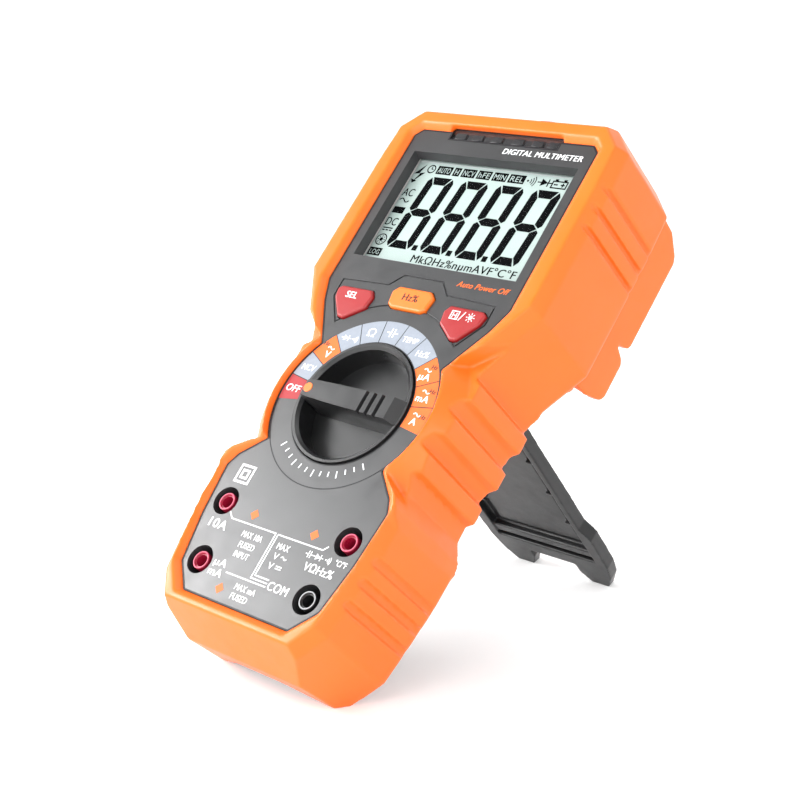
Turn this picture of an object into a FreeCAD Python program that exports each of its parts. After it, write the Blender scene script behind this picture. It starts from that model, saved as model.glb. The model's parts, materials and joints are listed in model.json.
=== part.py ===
import FreeCAD, Part
import math
import os

# Digital multimeter in a two-piece case with an elastomer holster, standing on its kickstand.
# Everything is drawn in the panel frame and set down on the floor at the end. In the panel
# frame the origin is the centre of the dial on the panel's face, +X is right, +Y is up the
# panel and +Z comes out of the front. Lengths are in mm and angles in degrees.

# Stance
PANEL_TILT = 48.8
STAND_OPEN_ANGLE = 83.85
HINGE_Y, HINGE_Z = 27.5, -37.0

# Levels through the thickness, from the front
RIM_TOP = 2.0
CHAMFER_FOOT = -3.0
SHOULDER_Z = -1.2
PLATE_BACK = -3.2
PARTING_Z = -18.0
CASE_BACK = -35.0
HOLSTER_BACK = -37.0
PCB_TOP, PCB_BACK = -12.4, -14.0
RECESS_Z = -33.0

# Walls and gaps
CASE_WALL = 2.0
HOLSTER_GAP = 0.15
FIT_GAP = 0.3

# Bottom end, as (y, z) points on the holster's skin, and the finger access between its two feet
BOTTOM_FRONT = (-76.5, RIM_TOP)
BOTTOM_BULGE = (-83.5, -14.1)
BOTTOM_HEEL = (-82.5, -31.5)
FOOT_LENGTH = 12.0
HOLSTER_WALL = 2.8
ACCESS_FRONT_X, ACCESS_FRONT_Z = 9.6, -23.4
ACCESS_REAR_X, ACCESS_REAR_Z = 21.6, -31.2

# Dial and knob
DIAL_RADIUS = 30.4
KNOB_RADIUS = 21.4
KNOB_WELL_RADIUS = 19.5
KNOB_TOP = 0.8
BAR_TOP = 3.4
BAR_TIP, BAR_TAIL = -20.9, 20.4
POINTER_DOT_X = -17.0
WELL_FLOOR = -7.8
KNOB_BOTTOM = -10.5
DETENT_STEP = 18.0
BALL_RADIUS = 0.9

# Bevel of the waist round the dial, and the right half of the area that it covers
WAIST_INNER, WAIST_OUTER, WAIST_FOOT = 31.9, 38.4, -4.4
WAIST_BAND = [(25.5, 17.8), (44.0, 33.5), (60.0, 33.5), (60.0, -31.5), (44.0, -31.5), (24.5, -17.2)]

# Input jacks, as (name, x, y)
JACKS = [("10a", -26.4, -42.1), ("ma", -23.15, -62.1), ("volt", 26.4, -42.1), ("com", 23.15, -62.1)]
JACK_BORE = 2.0
JACK_SLEEVE = 2.5
JACK_POST = 3.0
JACK_WELL = 4.8
JACK_TUBE = 6.2
JACK_DEPTH = -16.0

# Display
WINDOW_X, WINDOW_Y0, WINDOW_Y1 = 33.2, 52.4, 93.8
WINDOW_FLARE = 0.9

# Probe clips on the holster's back, with their side view as (y, z) points
CLIP_X, CLIP_Z = 35.0, -46.6
CLIP_HALF_WIDTH, CLIP_BORE, CLIP_MOUTH = 8.0, 6.2, 4.6
CLIP_SIDE = [(40.6, HOLSTER_BACK), (41.4, -46.0), (44.2, -53.8), (46.2, -55.2), (58.6, -55.2),
             (60.2, -54.0), (62.3, -48.5), (64.6, -54.4), (66.0, -55.2), (99.4, -55.2), (101.6, -53.8),
             (106.0, -46.4), (106.6, HOLSTER_BACK)]

# Batteries
CELL_RADIUS, CELL_LENGTH = 5.25, 44.5
CELL_PITCH = 11.4
CELL_Z = -25.0
BAY_X, BAY_Y0, BAY_Y1 = 24.0, -40.0, 12.0

# Right halves of the outlines, from the top end to the bottom end
HOLSTER_TOP = [(38.5, 112.5), (46.8, 104.0), (47.6, 88.0), (47.8, 42.5), (41.5, 31.5), (36.8, 23.4)]
HOLSTER_LOW = [(33.0, -21.4), (36.8, -27.6), (38.2, -33.0), (37.8, -44.0), (35.8, -60.0),
               (34.4, -69.6), (24.6, -84.0)]
RIBS = [(37.6, 15.0), (36.7, 1.8), (35.0, -11.2)]
RIB_RISE, RIB_FOOT, RIB_CREST = 2.5, 4.4, 2.8
ENVELOPE_WAIST = [(39.0, 27.2), (39.0, -31.0)]
CASE_HALF = [(36.8, 109.6), (44.5, 101.4), (44.9, 86.0), (44.9, 43.3), (38.9, 33.2), (33.4, 24.0),
             (32.6, 8.0), (31.8, -4.0), (30.9, -18.0), (31.0, -21.8), (33.7, -27.2), (35.2, -33.0),
             (34.8, -44.0), (32.9, -60.0), (31.7, -68.8), (22.6, -82.4)]
PANEL_HALF = [(35.3, 103.4), (37.7, 101.0), (37.7, 41.0), (34.4, 33.0), (25.0, 17.3), (24.0, -18.6),
              (32.0, -26.4), (34.1, -30.8), (32.6, -48.0), (29.6, -64.2), (22.5, -72.2)]
STRIP_X, STRIP_Y0, STRIP_Y1 = 22.8, 100.6, 105.0

# Push buttons
SIDE_BUTTON = [(16.6, 39.0), (29.6, 38.9), (31.2, 37.6), (30.4, 34.2), (25.0, 27.6), (22.6, 27.3),
               (15.8, 32.2), (15.0, 36.6)]
MIDDLE_BUTTON = [(-6.6, 42.3), (6.6, 42.3), (8.7, 40.2), (7.9, 35.6), (6.2, 34.4), (-6.2, 34.4),
                 (-7.9, 35.6), (-8.7, 40.2)]
BUTTON_TOP = 1.1
BUTTON_FRAME = [(-25.2, 25.8), (-31.9, 35.0), (-31.9, 41.6), (-12.4, 42.4), (-8.2, 46.8), (8.2, 46.8),
                (12.4, 42.4), (31.9, 41.6), (31.9, 35.0), (25.2, 25.8)]
GROOVE_WIDTH, GROOVE_DEPTH = 0.6, 0.4

# Kickstand, drawn folded: distance down from the hinge and half width
STAND_HALF = [(25.0, 6.0), (24.4, 66.0), (27.0, 72.0), (26.4, 90.0), (24.4, 98.2), (18.4, 109.0),
              (15.6, 109.0), (10.2, 98.6), (10.2, 94.4)]
STAND_OUTER, STAND_FLOOR, STAND_INNER = -38.4, -36.9, -33.6

# Directions of the floor in the panel frame, as (y, z)
FLOOR_UP = (math.sin(math.radians(PANEL_TILT)), math.cos(math.radians(PANEL_TILT)))
FLOOR_BACK = (FLOOR_UP[1], -FLOOR_UP[0])
FOOT_END = (BOTTOM_HEEL[0] + FOOT_LENGTH * FLOOR_BACK[0], BOTTOM_HEEL[1] + FOOT_LENGTH * FLOOR_BACK[1])

V = FreeCAD.Vector
X_AXIS, Y_AXIS, Z_AXIS = V(1, 0, 0), V(0, 1, 0), V(0, 0, 1)
ORIGIN = V(0, 0, 0)
FAR = 200.0


def block(x0, x1, y0, y1, z0, z1):
    """Box from its six limits."""
    return Part.makeBox(x1 - x0, y1 - y0, z1 - z0, V(x0, y0, z0))


def disc(radius, x, y, z0, z1):
    """Cylinder along Z."""
    return Part.makeCylinder(radius, z1 - z0, V(x, y, z0), Z_AXIS)


def ring(outer, inner, x, y, z0, z1):
    """Tube along Z."""
    return disc(outer, x, y, z0, z1).cut(disc(inner, x, y, z0 - 1, z1 + 1))


def wire(points, z):
    """Closed polygon at one level."""
    corners = [V(x, y, z) for x, y in points]
    return Part.makePolygon(corners + corners[:1])


def prism(points, z0, z1):
    """Polygon extruded along Z."""
    return Part.Face(wire(points, z0)).extrude(V(0, 0, z1 - z0))


def taper(points0, z0, points1, z1):
    """Solid between two polygons with the same number of corners."""
    return Part.makeLoft([wire(points0, z0), wire(points1, z1)], True, True)


def side_prism(points, x0, x1):
    """Polygon of (y, z) points extruded along X."""
    corners = [V(x0, y, z) for y, z in points]
    return Part.Face(Part.makePolygon(corners + corners[:1])).extrude(V(x1 - x0, 0, 0))


def whole(half):
    """Full outline from its right half."""
    return half + [(-x, y) for x, y in reversed(half)]


def inset(points, distance):
    """Outline moved inwards by a distance, or outwards by a negative one, with mitred corners."""
    area = sum(a[0] * b[1] - b[0] * a[1] for a, b in zip(points, points[1:] + points[:1]))
    turn = 1.0 if area > 0 else -1.0
    moved = []
    for before, here, after in zip(points[-1:] + points[:-1], points, points[1:] + points[:1]):
        normals = []
        for a, b in ((before, here), (here, after)):
            run = math.hypot(b[0] - a[0], b[1] - a[1])
            normals.append((-turn * (b[1] - a[1]) / run, turn * (b[0] - a[0]) / run))
        (ax, ay), (bx, by) = normals
        stretch = distance / (1.0 + ax * bx + ay * by)
        moved.append((here[0] + (ax + bx) * stretch, here[1] + (ay + by) * stretch))
    return moved


def fuse(shapes):
    """One shape from several that touch."""
    return shapes[0].multiFuse(shapes[1:]).removeSplitter() if len(shapes) > 1 else shapes[0]


def cut(shape, tools):
    """Shape with several others taken away."""
    for tool in tools:
        shape = shape.cut(tool)
    return shape


def mirrored(shape):
    """Copy on the other side of the middle plane."""
    return shape.mirror(ORIGIN, X_AXIS)


def bottom_trims(depth):
    """Three wedges that slope the bottom end, a depth inside the holster's skin."""
    skin = [BOTTOM_FRONT, BOTTOM_BULGE, BOTTOM_HEEL, FOOT_END]
    wedges = []
    for (ya, za), (yb, zb) in zip(skin, skin[1:]):
        run = math.hypot(yb - ya, zb - za)
        dy, dz = (yb - ya) / run, (zb - za) / run
        start = (ya - 30 * dy - depth * dz, za - 30 * dz + depth * dy)
        end = (yb + 30 * dy - depth * dz, zb + 30 * dz + depth * dy)
        wedges.append(side_prism([start, end, (end[0] + 60 * dz, end[1] - 60 * dy),
                                  (start[0] + 60 * dz, start[1] - 60 * dy)], -FAR / 2, FAR / 2))
    return wedges


def holster_outline():
    """Outline with the finger ribs at the waist."""
    half = list(HOLSTER_TOP)
    for crest, y in RIBS:
        half += [(crest - RIB_RISE, y + RIB_FOOT), (crest, y + RIB_CREST),
                 (crest, y - RIB_CREST), (crest - RIB_RISE, y - RIB_FOOT)]
    return whole(half + HOLSTER_LOW)


def holster_envelope():
    """Smooth outer form with a front chamfer and a rounded-off back edge."""
    outline = whole(HOLSTER_TOP[:4] + ENVELOPE_WAIST + HOLSTER_LOW[2:])
    front = taper(outline, CHAMFER_FOOT, inset(outline, 2.3), RIM_TOP)
    middle = prism(outline, HOLSTER_BACK + 2.0, CHAMFER_FOOT)
    back = taper(inset(outline, 1.4), HOLSTER_BACK, outline, HOLSTER_BACK + 2.0)
    return fuse([front, middle, back])


def waist_chamfer(depth):
    """Ring-shaped bevel round the dial that slopes the waist's front edge, a depth inside its skin."""
    foot = WAIST_FOOT - depth
    spread = (WAIST_OUTER - WAIST_INNER) / (RIM_TOP - WAIST_FOOT) * (RIM_TOP - foot)
    inner = WAIST_INNER - depth
    band = prism(inset(whole(WAIST_BAND), -depth), foot, 5)
    cone = Part.makeCone(inner + spread, inner, RIM_TOP - foot, V(0, 0, foot), Z_AXIS)
    return band.cut(cone).cut(disc(inner, 0, 0, RIM_TOP - 0.1, 6))


def side_grooves():
    """Three narrow grooves high on each side and three wide ones low down."""
    tools = []
    for y in (89.2, 81.8, 74.8):
        tools.append(groove(46.1, 1.0, y, 2.4))
    for y, x in ((-44.4, 36.6), (-51.5, 35.7), (-58.9, 34.7)):
        tools.append(groove(x, 1.5, y, 0.4))
    return tools + [mirrored(tool) for tool in tools]


def groove(floor_x, half_width, y, front):
    """One groove along the thickness with a rounded front end."""
    slot = block(floor_x, floor_x + 9, y - half_width, y + half_width, -FAR / 4, front - half_width - 1.6)
    end = Part.makeCylinder(half_width, 9, V(floor_x, y, front - half_width - 1.6), X_AXIS)
    return fuse([slot, end])


def case_form(grow, z0, z1):
    """Outer form of the dark case between two levels, grown by a small gap."""
    body = prism(inset(whole(CASE_HALF), -grow), z0, z1)
    return cut(body, bottom_trims(HOLSTER_WALL - grow))


def panel_form(grow, z0, z1):
    """Raised panel that shows inside the holster's rim."""
    return fuse([prism(inset(whole(PANEL_HALF), -grow), z0, z1), disc(DIAL_RADIUS + grow, 0, 0, z0, z1)])


def rim_opening():
    """Opening of the holster round the panel, flared at the front."""
    outline = whole(PANEL_HALF)
    flare = taper(inset(outline, -0.4), 0.1, inset(outline, -2.5), RIM_TOP + 0.1)
    dial = Part.makeCone(DIAL_RADIUS + 0.4, DIAL_RADIUS + 1.3, 2.0, V(0, 0, 0.1), Z_AXIS)
    strip = block(-STRIP_X - 0.5, STRIP_X + 0.5, 99, STRIP_Y1 + 0.6, SHOULDER_Z - 1, 5)
    return [panel_form(0.4, SHOULDER_Z - 1, 0.1), flare, dial, strip]


def make_holster():
    """Elastomer sleeve with a chamfered rim, finger ribs, grooves and a lip round the back."""
    body = prism(holster_outline(), HOLSTER_BACK, RIM_TOP).common(holster_envelope())
    body = cut(body, bottom_trims(0.0) + [waist_chamfer(0.0)] + side_grooves())
    core = case_form(HOLSTER_GAP, CASE_BACK - HOLSTER_GAP, SHOULDER_Z + HOLSTER_GAP)
    body = body.cut(core.cut(waist_chamfer(HOLSTER_WALL - HOLSTER_GAP)))
    body = cut(body, rim_opening())
    back = inset(whole(CASE_HALF), 4.2)
    body = body.cut(prism(back, HOLSTER_BACK - 1, CASE_BACK + 1).cut(block(-60, 60, -99, -64, -40, -30)))
    sensor_hole = block(5.0, 11.4, 105, 120, -8.4, -4.6)
    stand_gap = block(-29.0, 29.0, -99, 33, -45, -35.1)
    return cut(body, [finger_access(), sensor_hole, stand_gap])


def finger_access():
    """Opening between the bottom end's two feet, where a finger reaches the folded stand."""
    plan = [(ACCESS_FRONT_X, ACCESS_FRONT_Z), (ACCESS_REAR_X, ACCESS_REAR_Z), (ACCESS_REAR_X, -60.0)]
    corners = [V(x, -99, z) for x, z in plan] + [V(-x, -99, z) for x, z in reversed(plan)]
    return Part.Face(Part.makePolygon(corners + corners[:1])).extrude(V(0, 35, 0))


def make_probe_clip(side):
    """C-shaped channel with a V-notch that holds a test probe along the back edge."""
    clip = side_prism(CLIP_SIDE, CLIP_X - CLIP_HALF_WIDTH, CLIP_X + CLIP_HALF_WIDTH)
    bore = Part.makeCylinder(CLIP_BORE, FAR, V(CLIP_X, 20, CLIP_Z), Y_AXIS)
    mouth = block(CLIP_X - CLIP_MOUTH, CLIP_X + CLIP_MOUTH, 20, 150, CLIP_Z - 20, CLIP_Z)
    clip = cut(clip, [bore, mouth])
    return clip if side > 0 else mirrored(clip)


def button_outlines():
    """Name and outline of each push button."""
    left = [(-x, y) for x, y in reversed(SIDE_BUTTON)]
    return [("select_button", left), ("frequency_button", MIDDLE_BUTTON), ("hold_button", SIDE_BUTTON)]


def screw_posts():
    """Places of the four case screws."""
    return [(-39.6, 99.5), (39.6, 99.5), (-29.4, -30.5), (29.4, -30.5)]


def make_front_case():
    """Front shell: panel plate, walls to the parting line, jack tubes and screw posts."""
    form = case_form(0.0, PARTING_Z, SHOULDER_Z).cut(waist_chamfer(HOLSTER_WALL))
    shell = fuse([form, panel_form(0.0, SHOULDER_Z - 0.5, 0.0)])
    hollow = cut(prism(inset(whole(CASE_HALF), CASE_WALL), PARTING_Z - 1, PLATE_BACK),
                 bottom_trims(HOLSTER_WALL + CASE_WALL) + [waist_chamfer(HOLSTER_WALL + CASE_WALL)])
    shell = shell.cut(hollow)
    posts = [disc(3.0, x, y, PCB_TOP, PLATE_BACK) for x, y in screw_posts()]
    tubes = [disc(JACK_TUBE, x, y, PCB_TOP + 0.2, PLATE_BACK) for _, x, y in JACKS]
    shell = fuse([shell] + posts + tubes)
    holes = [disc(1.25, x, y, PCB_TOP - 1, PLATE_BACK - 1) for x, y in screw_posts()]
    holes += [disc(JACK_WELL, x, y, PCB_TOP - 1, 1) for _, x, y in JACKS]
    holes.append(disc(KNOB_RADIUS + FIT_GAP + 0.1, 0, 0, PARTING_Z, 1))
    low = [(WINDOW_X, WINDOW_Y0), (WINDOW_X, WINDOW_Y1), (-WINDOW_X, WINDOW_Y1), (-WINDOW_X, WINDOW_Y0)]
    holes.append(taper(low, PLATE_BACK - 0.01, inset(low, -WINDOW_FLARE), 0.01))
    for _, outline in button_outlines():
        holes.append(prism(inset(outline, -FIT_GAP), PLATE_BACK - 1, 1))
    holes.append(block(-STRIP_X, STRIP_X, STRIP_Y0, STRIP_Y1 + 0.4, -2.0, 1))
    for x in indicator_places():
        holes.append(block(x - 1.6, x + 1.6, STRIP_Y0 + 1.0, STRIP_Y1 - 1.0, PLATE_BACK - 1, 0))
    holes.append(block(5.2, 11.2, 100, 120, -8.2, -4.8))
    holes.append(button_frame_groove())
    return cut(shell, holes)


def button_frame_groove():
    """Fine groove round the buttons, closed below by an arc over the dial."""
    reach = GROOVE_WIDTH / 2
    field = prism(inset(BUTTON_FRAME, -reach), -GROOVE_DEPTH, 1)
    field = field.cut(prism(inset(BUTTON_FRAME, reach), -2, 2))
    field = field.cut(disc(math.hypot(*BUTTON_FRAME[0]) - reach, 0, 0, -2, 2))
    radius = math.hypot(*BUTTON_FRAME[0])
    arc = ring(radius + reach, radius - reach, 0, 0, -GROOVE_DEPTH, 1)
    return fuse([field, arc.common(prism(BUTTON_FRAME, -2, 2))])


def indicator_places():
    """Positions of the range lamps along the strip."""
    return [-18.6, -11.4, -3.2, 5.6, 13.6, 20.0]


def make_indicator_strip():
    """Smoked strip along the panel's top edge with a low lens over each lamp."""
    strip = block(-STRIP_X + 0.1, STRIP_X - 0.1, STRIP_Y0 + 0.1, STRIP_Y1 + 0.3, -2.0, -0.9)
    y0, y1 = STRIP_Y0 + 0.9, STRIP_Y1 - 1.0
    lenses = [block(x - 2.3, x + 2.3, y0, y1, -1.0, -0.4) for x in indicator_places()]
    return fuse([strip] + lenses)


def make_indicator_lamps():
    """One small lamp below each lens."""
    return [block(x - 1.0, x + 1.0, STRIP_Y0 + 1.4, STRIP_Y1 - 1.4, -3.6, -2.2) for x in indicator_places()]


def make_sensor_window():
    """Dark window in the top end for the voltage sensor."""
    return block(5.2, 11.2, 106.0, 115.4, -8.2, -4.8)


def make_lcd_lens():
    """Clear lens bonded behind the window."""
    return block(-WINDOW_X - 1.5, WINDOW_X + 1.5, WINDOW_Y0 - 1.5, WINDOW_Y1 + 1.5, -4.4, -3.25)


def make_lcd_bezel():
    """Frame that holds the display glass against the lens."""
    outer = block(-WINDOW_X - 3.0, WINDOW_X + 3.0, WINDOW_Y0 - 3.0, WINDOW_Y1 + 2.6, -12.2, -4.5)
    return outer.cut(block(-WINDOW_X - 1.2, WINDOW_X + 1.2, WINDOW_Y0 - 1.2, WINDOW_Y1 + 1.2, -13, -4))


def make_lcd_glass():
    """Liquid-crystal glass in the frame."""
    return block(-WINDOW_X - 1.0, WINDOW_X + 1.0, WINDOW_Y0 - 1.0, WINDOW_Y1 + 1.0, -7.2, -4.7)


def make_backlight():
    """Light guide behind the glass."""
    return block(-WINDOW_X + 0.5, WINDOW_X - 0.5, WINDOW_Y0 + 4.0, WINDOW_Y1 - 0.5, -10.2, -7.4)


def make_zebra_strip():
    """Rubber contact strip from the glass to the board."""
    return block(-WINDOW_X + 1.0, WINDOW_X - 1.0, WINDOW_Y0 - 0.5, WINDOW_Y0 + 2.5, PCB_TOP, -7.3)


def make_knob():
    """Cup-shaped dial knob with a tapered finger bar across it."""
    cup = disc(KNOB_RADIUS, 0, 0, KNOB_BOTTOM, KNOB_TOP)
    cup = cup.cut(disc(KNOB_WELL_RADIUS, 0, 0, WELL_FLOOR, 5))
    lip = Part.makeCone(KNOB_WELL_RADIUS, KNOB_WELL_RADIUS + 1.0, 1.0, V(0, 0, KNOB_TOP - 1.0), Z_AXIS)
    cup = cup.cut(lip)
    knob = fuse([cup, finger_bar(), disc(4.0, 0, 0, -11.4, KNOB_BOTTOM)])
    knob = knob.cut(disc(1.7, POINTER_DOT_X, 0, BAR_TOP - 0.7, BAR_TOP + 1))
    for x in (6.6, 9.9, 13.2):
        knob = knob.cut(grip_groove(x))
    for angle in (70.0, 250.0):
        spot = V(math.cos(math.radians(angle)), math.sin(math.radians(angle)), 0)
        mouth = spot * (KNOB_WELL_RADIUS + 0.6) + V(0, 0, -6.5)
        pocket = Part.makeCylinder(BALL_RADIUS + 0.05, 3.0, mouth, spot)
        knob = knob.cut(pocket)
    return knob


def finger_bar():
    """Tall bar with a narrow pointer end and a sloped tail."""
    plan = [(BAR_TIP, 2.0), (BAR_TIP + 4.5, 3.2), (-4.0, 3.6), (BAR_TAIL, 3.9)]
    plan = plan + [(x, -y) for x, y in reversed(plan)]
    foot = prism(inset(plan, -0.4), WELL_FLOOR - 0.5, 0.0)
    body = taper(inset(plan, -0.4), 0.0, inset(plan, 0.1), BAR_TOP)
    bar = fuse([foot, body]).common(disc(KNOB_RADIUS - 0.3, 0, 0, -20, 20))
    profile = [(BAR_TIP - 2, WELL_FLOOR - 2), (BAR_TIP - 2, KNOB_TOP), (BAR_TIP + 0.5, KNOB_TOP),
               (BAR_TIP + 1.7, BAR_TOP - 0.4), (BAR_TIP + 2.3, BAR_TOP), (17.4, BAR_TOP),
               (BAR_TAIL + 0.2, KNOB_TOP), (BAR_TAIL + 2, KNOB_TOP), (BAR_TAIL + 2, WELL_FLOOR - 2)]
    corners = [V(x, -10, z) for x, z in profile]
    side = Part.Face(Part.makePolygon(corners + corners[:1])).extrude(V(0, 20, 0))
    return bar.common(side)


def grip_groove(x):
    """V-shaped groove across the bar."""
    corners = [V(x - 0.9, -9, BAR_TOP + 0.6), V(x + 1.1, -9, BAR_TOP + 0.6), V(x - 0.1, -9, BAR_TOP - 1.5)]
    return Part.Face(Part.makePolygon(corners + corners[:1])).extrude(V(0, 18, 0))


def make_pointer_insert():
    """Coloured dot in the pointer."""
    return disc(1.65, POINTER_DOT_X, 0, BAR_TOP - 0.65, BAR_TOP + 0.15)


def make_contact_carrier():
    """Disc under the knob with the shaft that turns in the board."""
    plate = ring(17.0, 4.05, 0, 0, -11.6, KNOB_BOTTOM - 0.05)
    shaft = disc(2.5, 0, 0, -16.4, -11.4)
    web = disc(6.0, 0, 0, -11.8, -11.4)
    return fuse([plate, shaft, web]).cut(ring(2.9, 2.1, 0, 0, -15.9, -15.1))


def make_wiper_contacts():
    """Spring contacts that sweep the board's tracks."""
    sector = block(-3, 3, 0, 20, -13, -11)
    return [ring(r + 0.5, r - 0.5, 0, 0, -12.05, -11.6).common(sector) for r in (9, 12, 15)]


def make_detent_balls():
    """Two balls that click into the detent ring."""
    balls = []
    for angle in (70.0, 250.0):
        a = math.radians(angle)
        reach = KNOB_RADIUS - 0.1
        balls.append(Part.makeSphere(BALL_RADIUS, V(reach * math.cos(a), reach * math.sin(a), -6.5)))
    return balls


def make_retaining_clip():
    """Spring clip in the shaft's groove below the board."""
    return ring(4.6, 2.1, 0, 0, -15.8, -15.2).cut(block(0, 6, -1.6, 1.6, -17, -14))


def make_detent_ring():
    """Ring with one notch for each switch position."""
    body = ring(26.0, 22.6, 0, 0, -8.4, PLATE_BACK)
    notches = []
    for step in range(20):
        a = math.radians(70.0 + step * DETENT_STEP)
        notches.append(disc(1.2, 22.6 * math.cos(a), 22.6 * math.sin(a), -9, -4))
    return body.cut(Part.makeCompound(notches))


def make_button(outline):
    """Push button with a domed edge, a retaining flange and a plunger."""
    cap = prism(outline, PLATE_BACK - 0.6, BUTTON_TOP - 0.5)
    crown = taper(outline, BUTTON_TOP - 0.5, inset(outline, 0.5), BUTTON_TOP)
    flange = prism(inset(outline, -0.9), -4.6, PLATE_BACK - 0.3)
    x = sum(p[0] for p in outline) / len(outline)
    y = sum(p[1] for p in outline) / len(outline)
    return fuse([cap, crown, flange, disc(1.8, x, y, -9.2, -4.4)])


def make_tact_switches():
    """Switch under each button's plunger."""
    switches = []
    for _, outline in button_outlines():
        x = sum(p[0] for p in outline) / len(outline)
        y = sum(p[1] for p in outline) / len(outline)
        body = block(x - 3, x + 3, y - 3, y + 3, PCB_TOP, -10.9)
        switches.append(fuse([body, disc(1.6, x, y, -11, -10.5)]))
    return switches


def make_pcb():
    """Circuit board that carries the display, jacks, fuses and switch tracks."""
    board = cut(prism(inset(whole(CASE_HALF), 3.0), PCB_BACK, PCB_TOP), bottom_trims(8.5))
    holes = [disc(1.6, x, y, -20, -5) for x, y in screw_posts()]
    holes += [disc(JACK_SLEEVE + 0.05, x, y, -20, -5) for _, x, y in JACKS]
    return cut(board, holes + [disc(2.6, 0, 0, -20, -5)])


def make_pcb_screws():
    """Screws that hold the board to the front shell's posts."""
    places = screw_posts()
    return [fuse([disc(1.2, x, y, -14.2, -6.0), disc(2.4, x, y, -15.4, PCB_BACK)]) for x, y in places]


def make_chips():
    """Measuring chip and its two helpers on the board's back."""
    return [block(-8, 8, 60, 76, -15.8, PCB_BACK), block(14, 22, 64, 70, -15.6, PCB_BACK),
            block(-22, -14, 64, 70, -15.6, PCB_BACK)]


def make_buzzer():
    """Sounder on the board's back."""
    return disc(6.0, 24, 86, -19.5, PCB_BACK)


def make_fuse(y, radius):
    """Cartridge fuse across the board's back."""
    glass = Part.makeCylinder(radius - 0.3, 22, V(-11, y, -19.2), X_AXIS)
    caps = [Part.makeCylinder(radius, 6, V(x, y, -19.2), X_AXIS) for x in (-16, 10)]
    return fuse([glass] + caps)


def make_fuse_clips():
    """Four spring clips that grip the fuses."""
    clips = []
    for y, radius in ((-52.0, 3.2), (-62.5, 3.2)):
        for x in (-15, 11):
            body = block(x, x + 4, y - radius - 0.6, y + radius + 0.6, -21.5, PCB_BACK)
            bore = Part.makeCylinder(radius + 0.02, 8, V(x - 2, y, -19.2), X_AXIS)
            mouth = block(x - 1, x + 5, y - 2.2, y + 2.2, -25, -19.2)
            clips.append(cut(body, [bore, mouth]))
    return clips


def make_current_shunt():
    """Thick resistance wire bent in a U beside the high-current jack."""
    left, right, y, low = -16.0, -4.0, -45.0, -17.6
    legs = [disc(0.8, x, y, low, PCB_BACK) for x in (left, right)]
    bridge = Part.makeCylinder(0.8, right - left, V(left, y, low), X_AXIS)
    elbows = [Part.makeSphere(0.8, V(x, y, low)) for x in (left, right)]
    return fuse(legs + [bridge] + elbows)


def make_jack_post(x, y):
    """Insulating post with a foot on the board."""
    post = fuse([disc(JACK_POST, x, y, PCB_TOP, -0.9), disc(JACK_WELL - 0.1, x, y, PCB_TOP, -11.2)])
    return post.cut(disc(JACK_SLEEVE, x, y, -20, 5))


def make_jack_contact(x, y):
    """Brass sleeve for a 4 mm plug, closed at its far end."""
    return disc(JACK_SLEEVE, x, y, JACK_DEPTH - 1.0, -1.1).cut(disc(JACK_BORE, x, y, JACK_DEPTH, 1))


def stand_recess(grow):
    """Room in the back for the folded kickstand."""
    return block(-28.6 - grow, 28.6 + grow, -FAR / 2, 33.0 + grow, -FAR / 4, RECESS_Z)


def make_rear_case():
    """Rear shell with the stand recess, battery bay, hinge lugs and screw holes."""
    shell = case_form(0.0, CASE_BACK, PARTING_Z - 0.02)
    hollow = cut(prism(inset(whole(CASE_HALF), CASE_WALL), RECESS_Z + CASE_WALL, PARTING_Z + 1),
                 bottom_trims(HOLSTER_WALL + CASE_WALL))
    shell = shell.cut(hollow).cut(stand_recess(0.0))
    bay = block(-BAY_X - 1.6, BAY_X + 1.6, BAY_Y0 - 1.6, BAY_Y1 + 1.4, RECESS_Z + CASE_WALL, -18.4)
    bay = bay.cut(block(-BAY_X, BAY_X, BAY_Y0, BAY_Y1, -50, -19.4))
    posts = [disc(3.0, x, y, RECESS_Z + CASE_WALL, PARTING_Z - 0.02) for x, y in screw_posts()]
    shell = fuse([shell, bay] + posts)
    cuts = [block(-BAY_X, BAY_X, BAY_Y0, BAY_Y1, -50, -19.4)]
    cuts += [disc(1.7, x, y, -40, -10) for x, y in screw_posts()]
    cuts += [disc(2.9, x, y, -40, -30.6) for x, y in screw_posts()]
    cuts.append(disc(1.3, 0, BAY_Y1 + 4.0, -40, -29.0))
    shell = cut(shell, cuts + [block(-BAY_X - 1.0, BAY_X + 1.0, BAY_Y0 - 1.0, BAY_Y1 + 7.0, -40, -31.9)])
    lugs = [hinge_lug(x) for x in (-28.6, 25.9)]
    return fuse([shell] + lugs).cut(Part.makeCylinder(1.5, 80, V(-40, HINGE_Y, HINGE_Z), X_AXIS))


def hinge_lug(x):
    """Ear that holds one end of the stand's pin."""
    round_end = Part.makeCylinder(2.9, 2.7, V(x, HINGE_Y, HINGE_Z), X_AXIS)
    return fuse([round_end, block(x, x + 2.7, HINGE_Y - 2.9, HINGE_Y + 2.9, HINGE_Z, RECESS_Z + 0.5)])


def make_battery_cover():
    """Screwed lid of the battery bay, flush with the stand recess."""
    lid = block(-BAY_X - 0.8, BAY_X + 0.8, BAY_Y0 - 0.8, BAY_Y1 + 6.8, RECESS_Z, -31.95)
    return lid.cut(disc(1.5, 0, BAY_Y1 + 4.0, -40, -20))


def make_battery_cover_screw():
    """Screw of the battery lid."""
    return fuse([disc(1.25, 0, BAY_Y1 + 4.0, RECESS_Z, -29.4), disc(2.4, 0, BAY_Y1 + 4.0, -34.0, RECESS_Z)])


def make_case_screws():
    """Four screws that close the case from the back."""
    return [fuse([disc(1.25, x, y, -31.0, -15.6), disc(2.8, x, y, -32.4, -30.6)]) for x, y in screw_posts()]


def cell_places():
    """Middle line of each cell."""
    return [(step - 1.5) * CELL_PITCH for step in range(4)]


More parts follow.
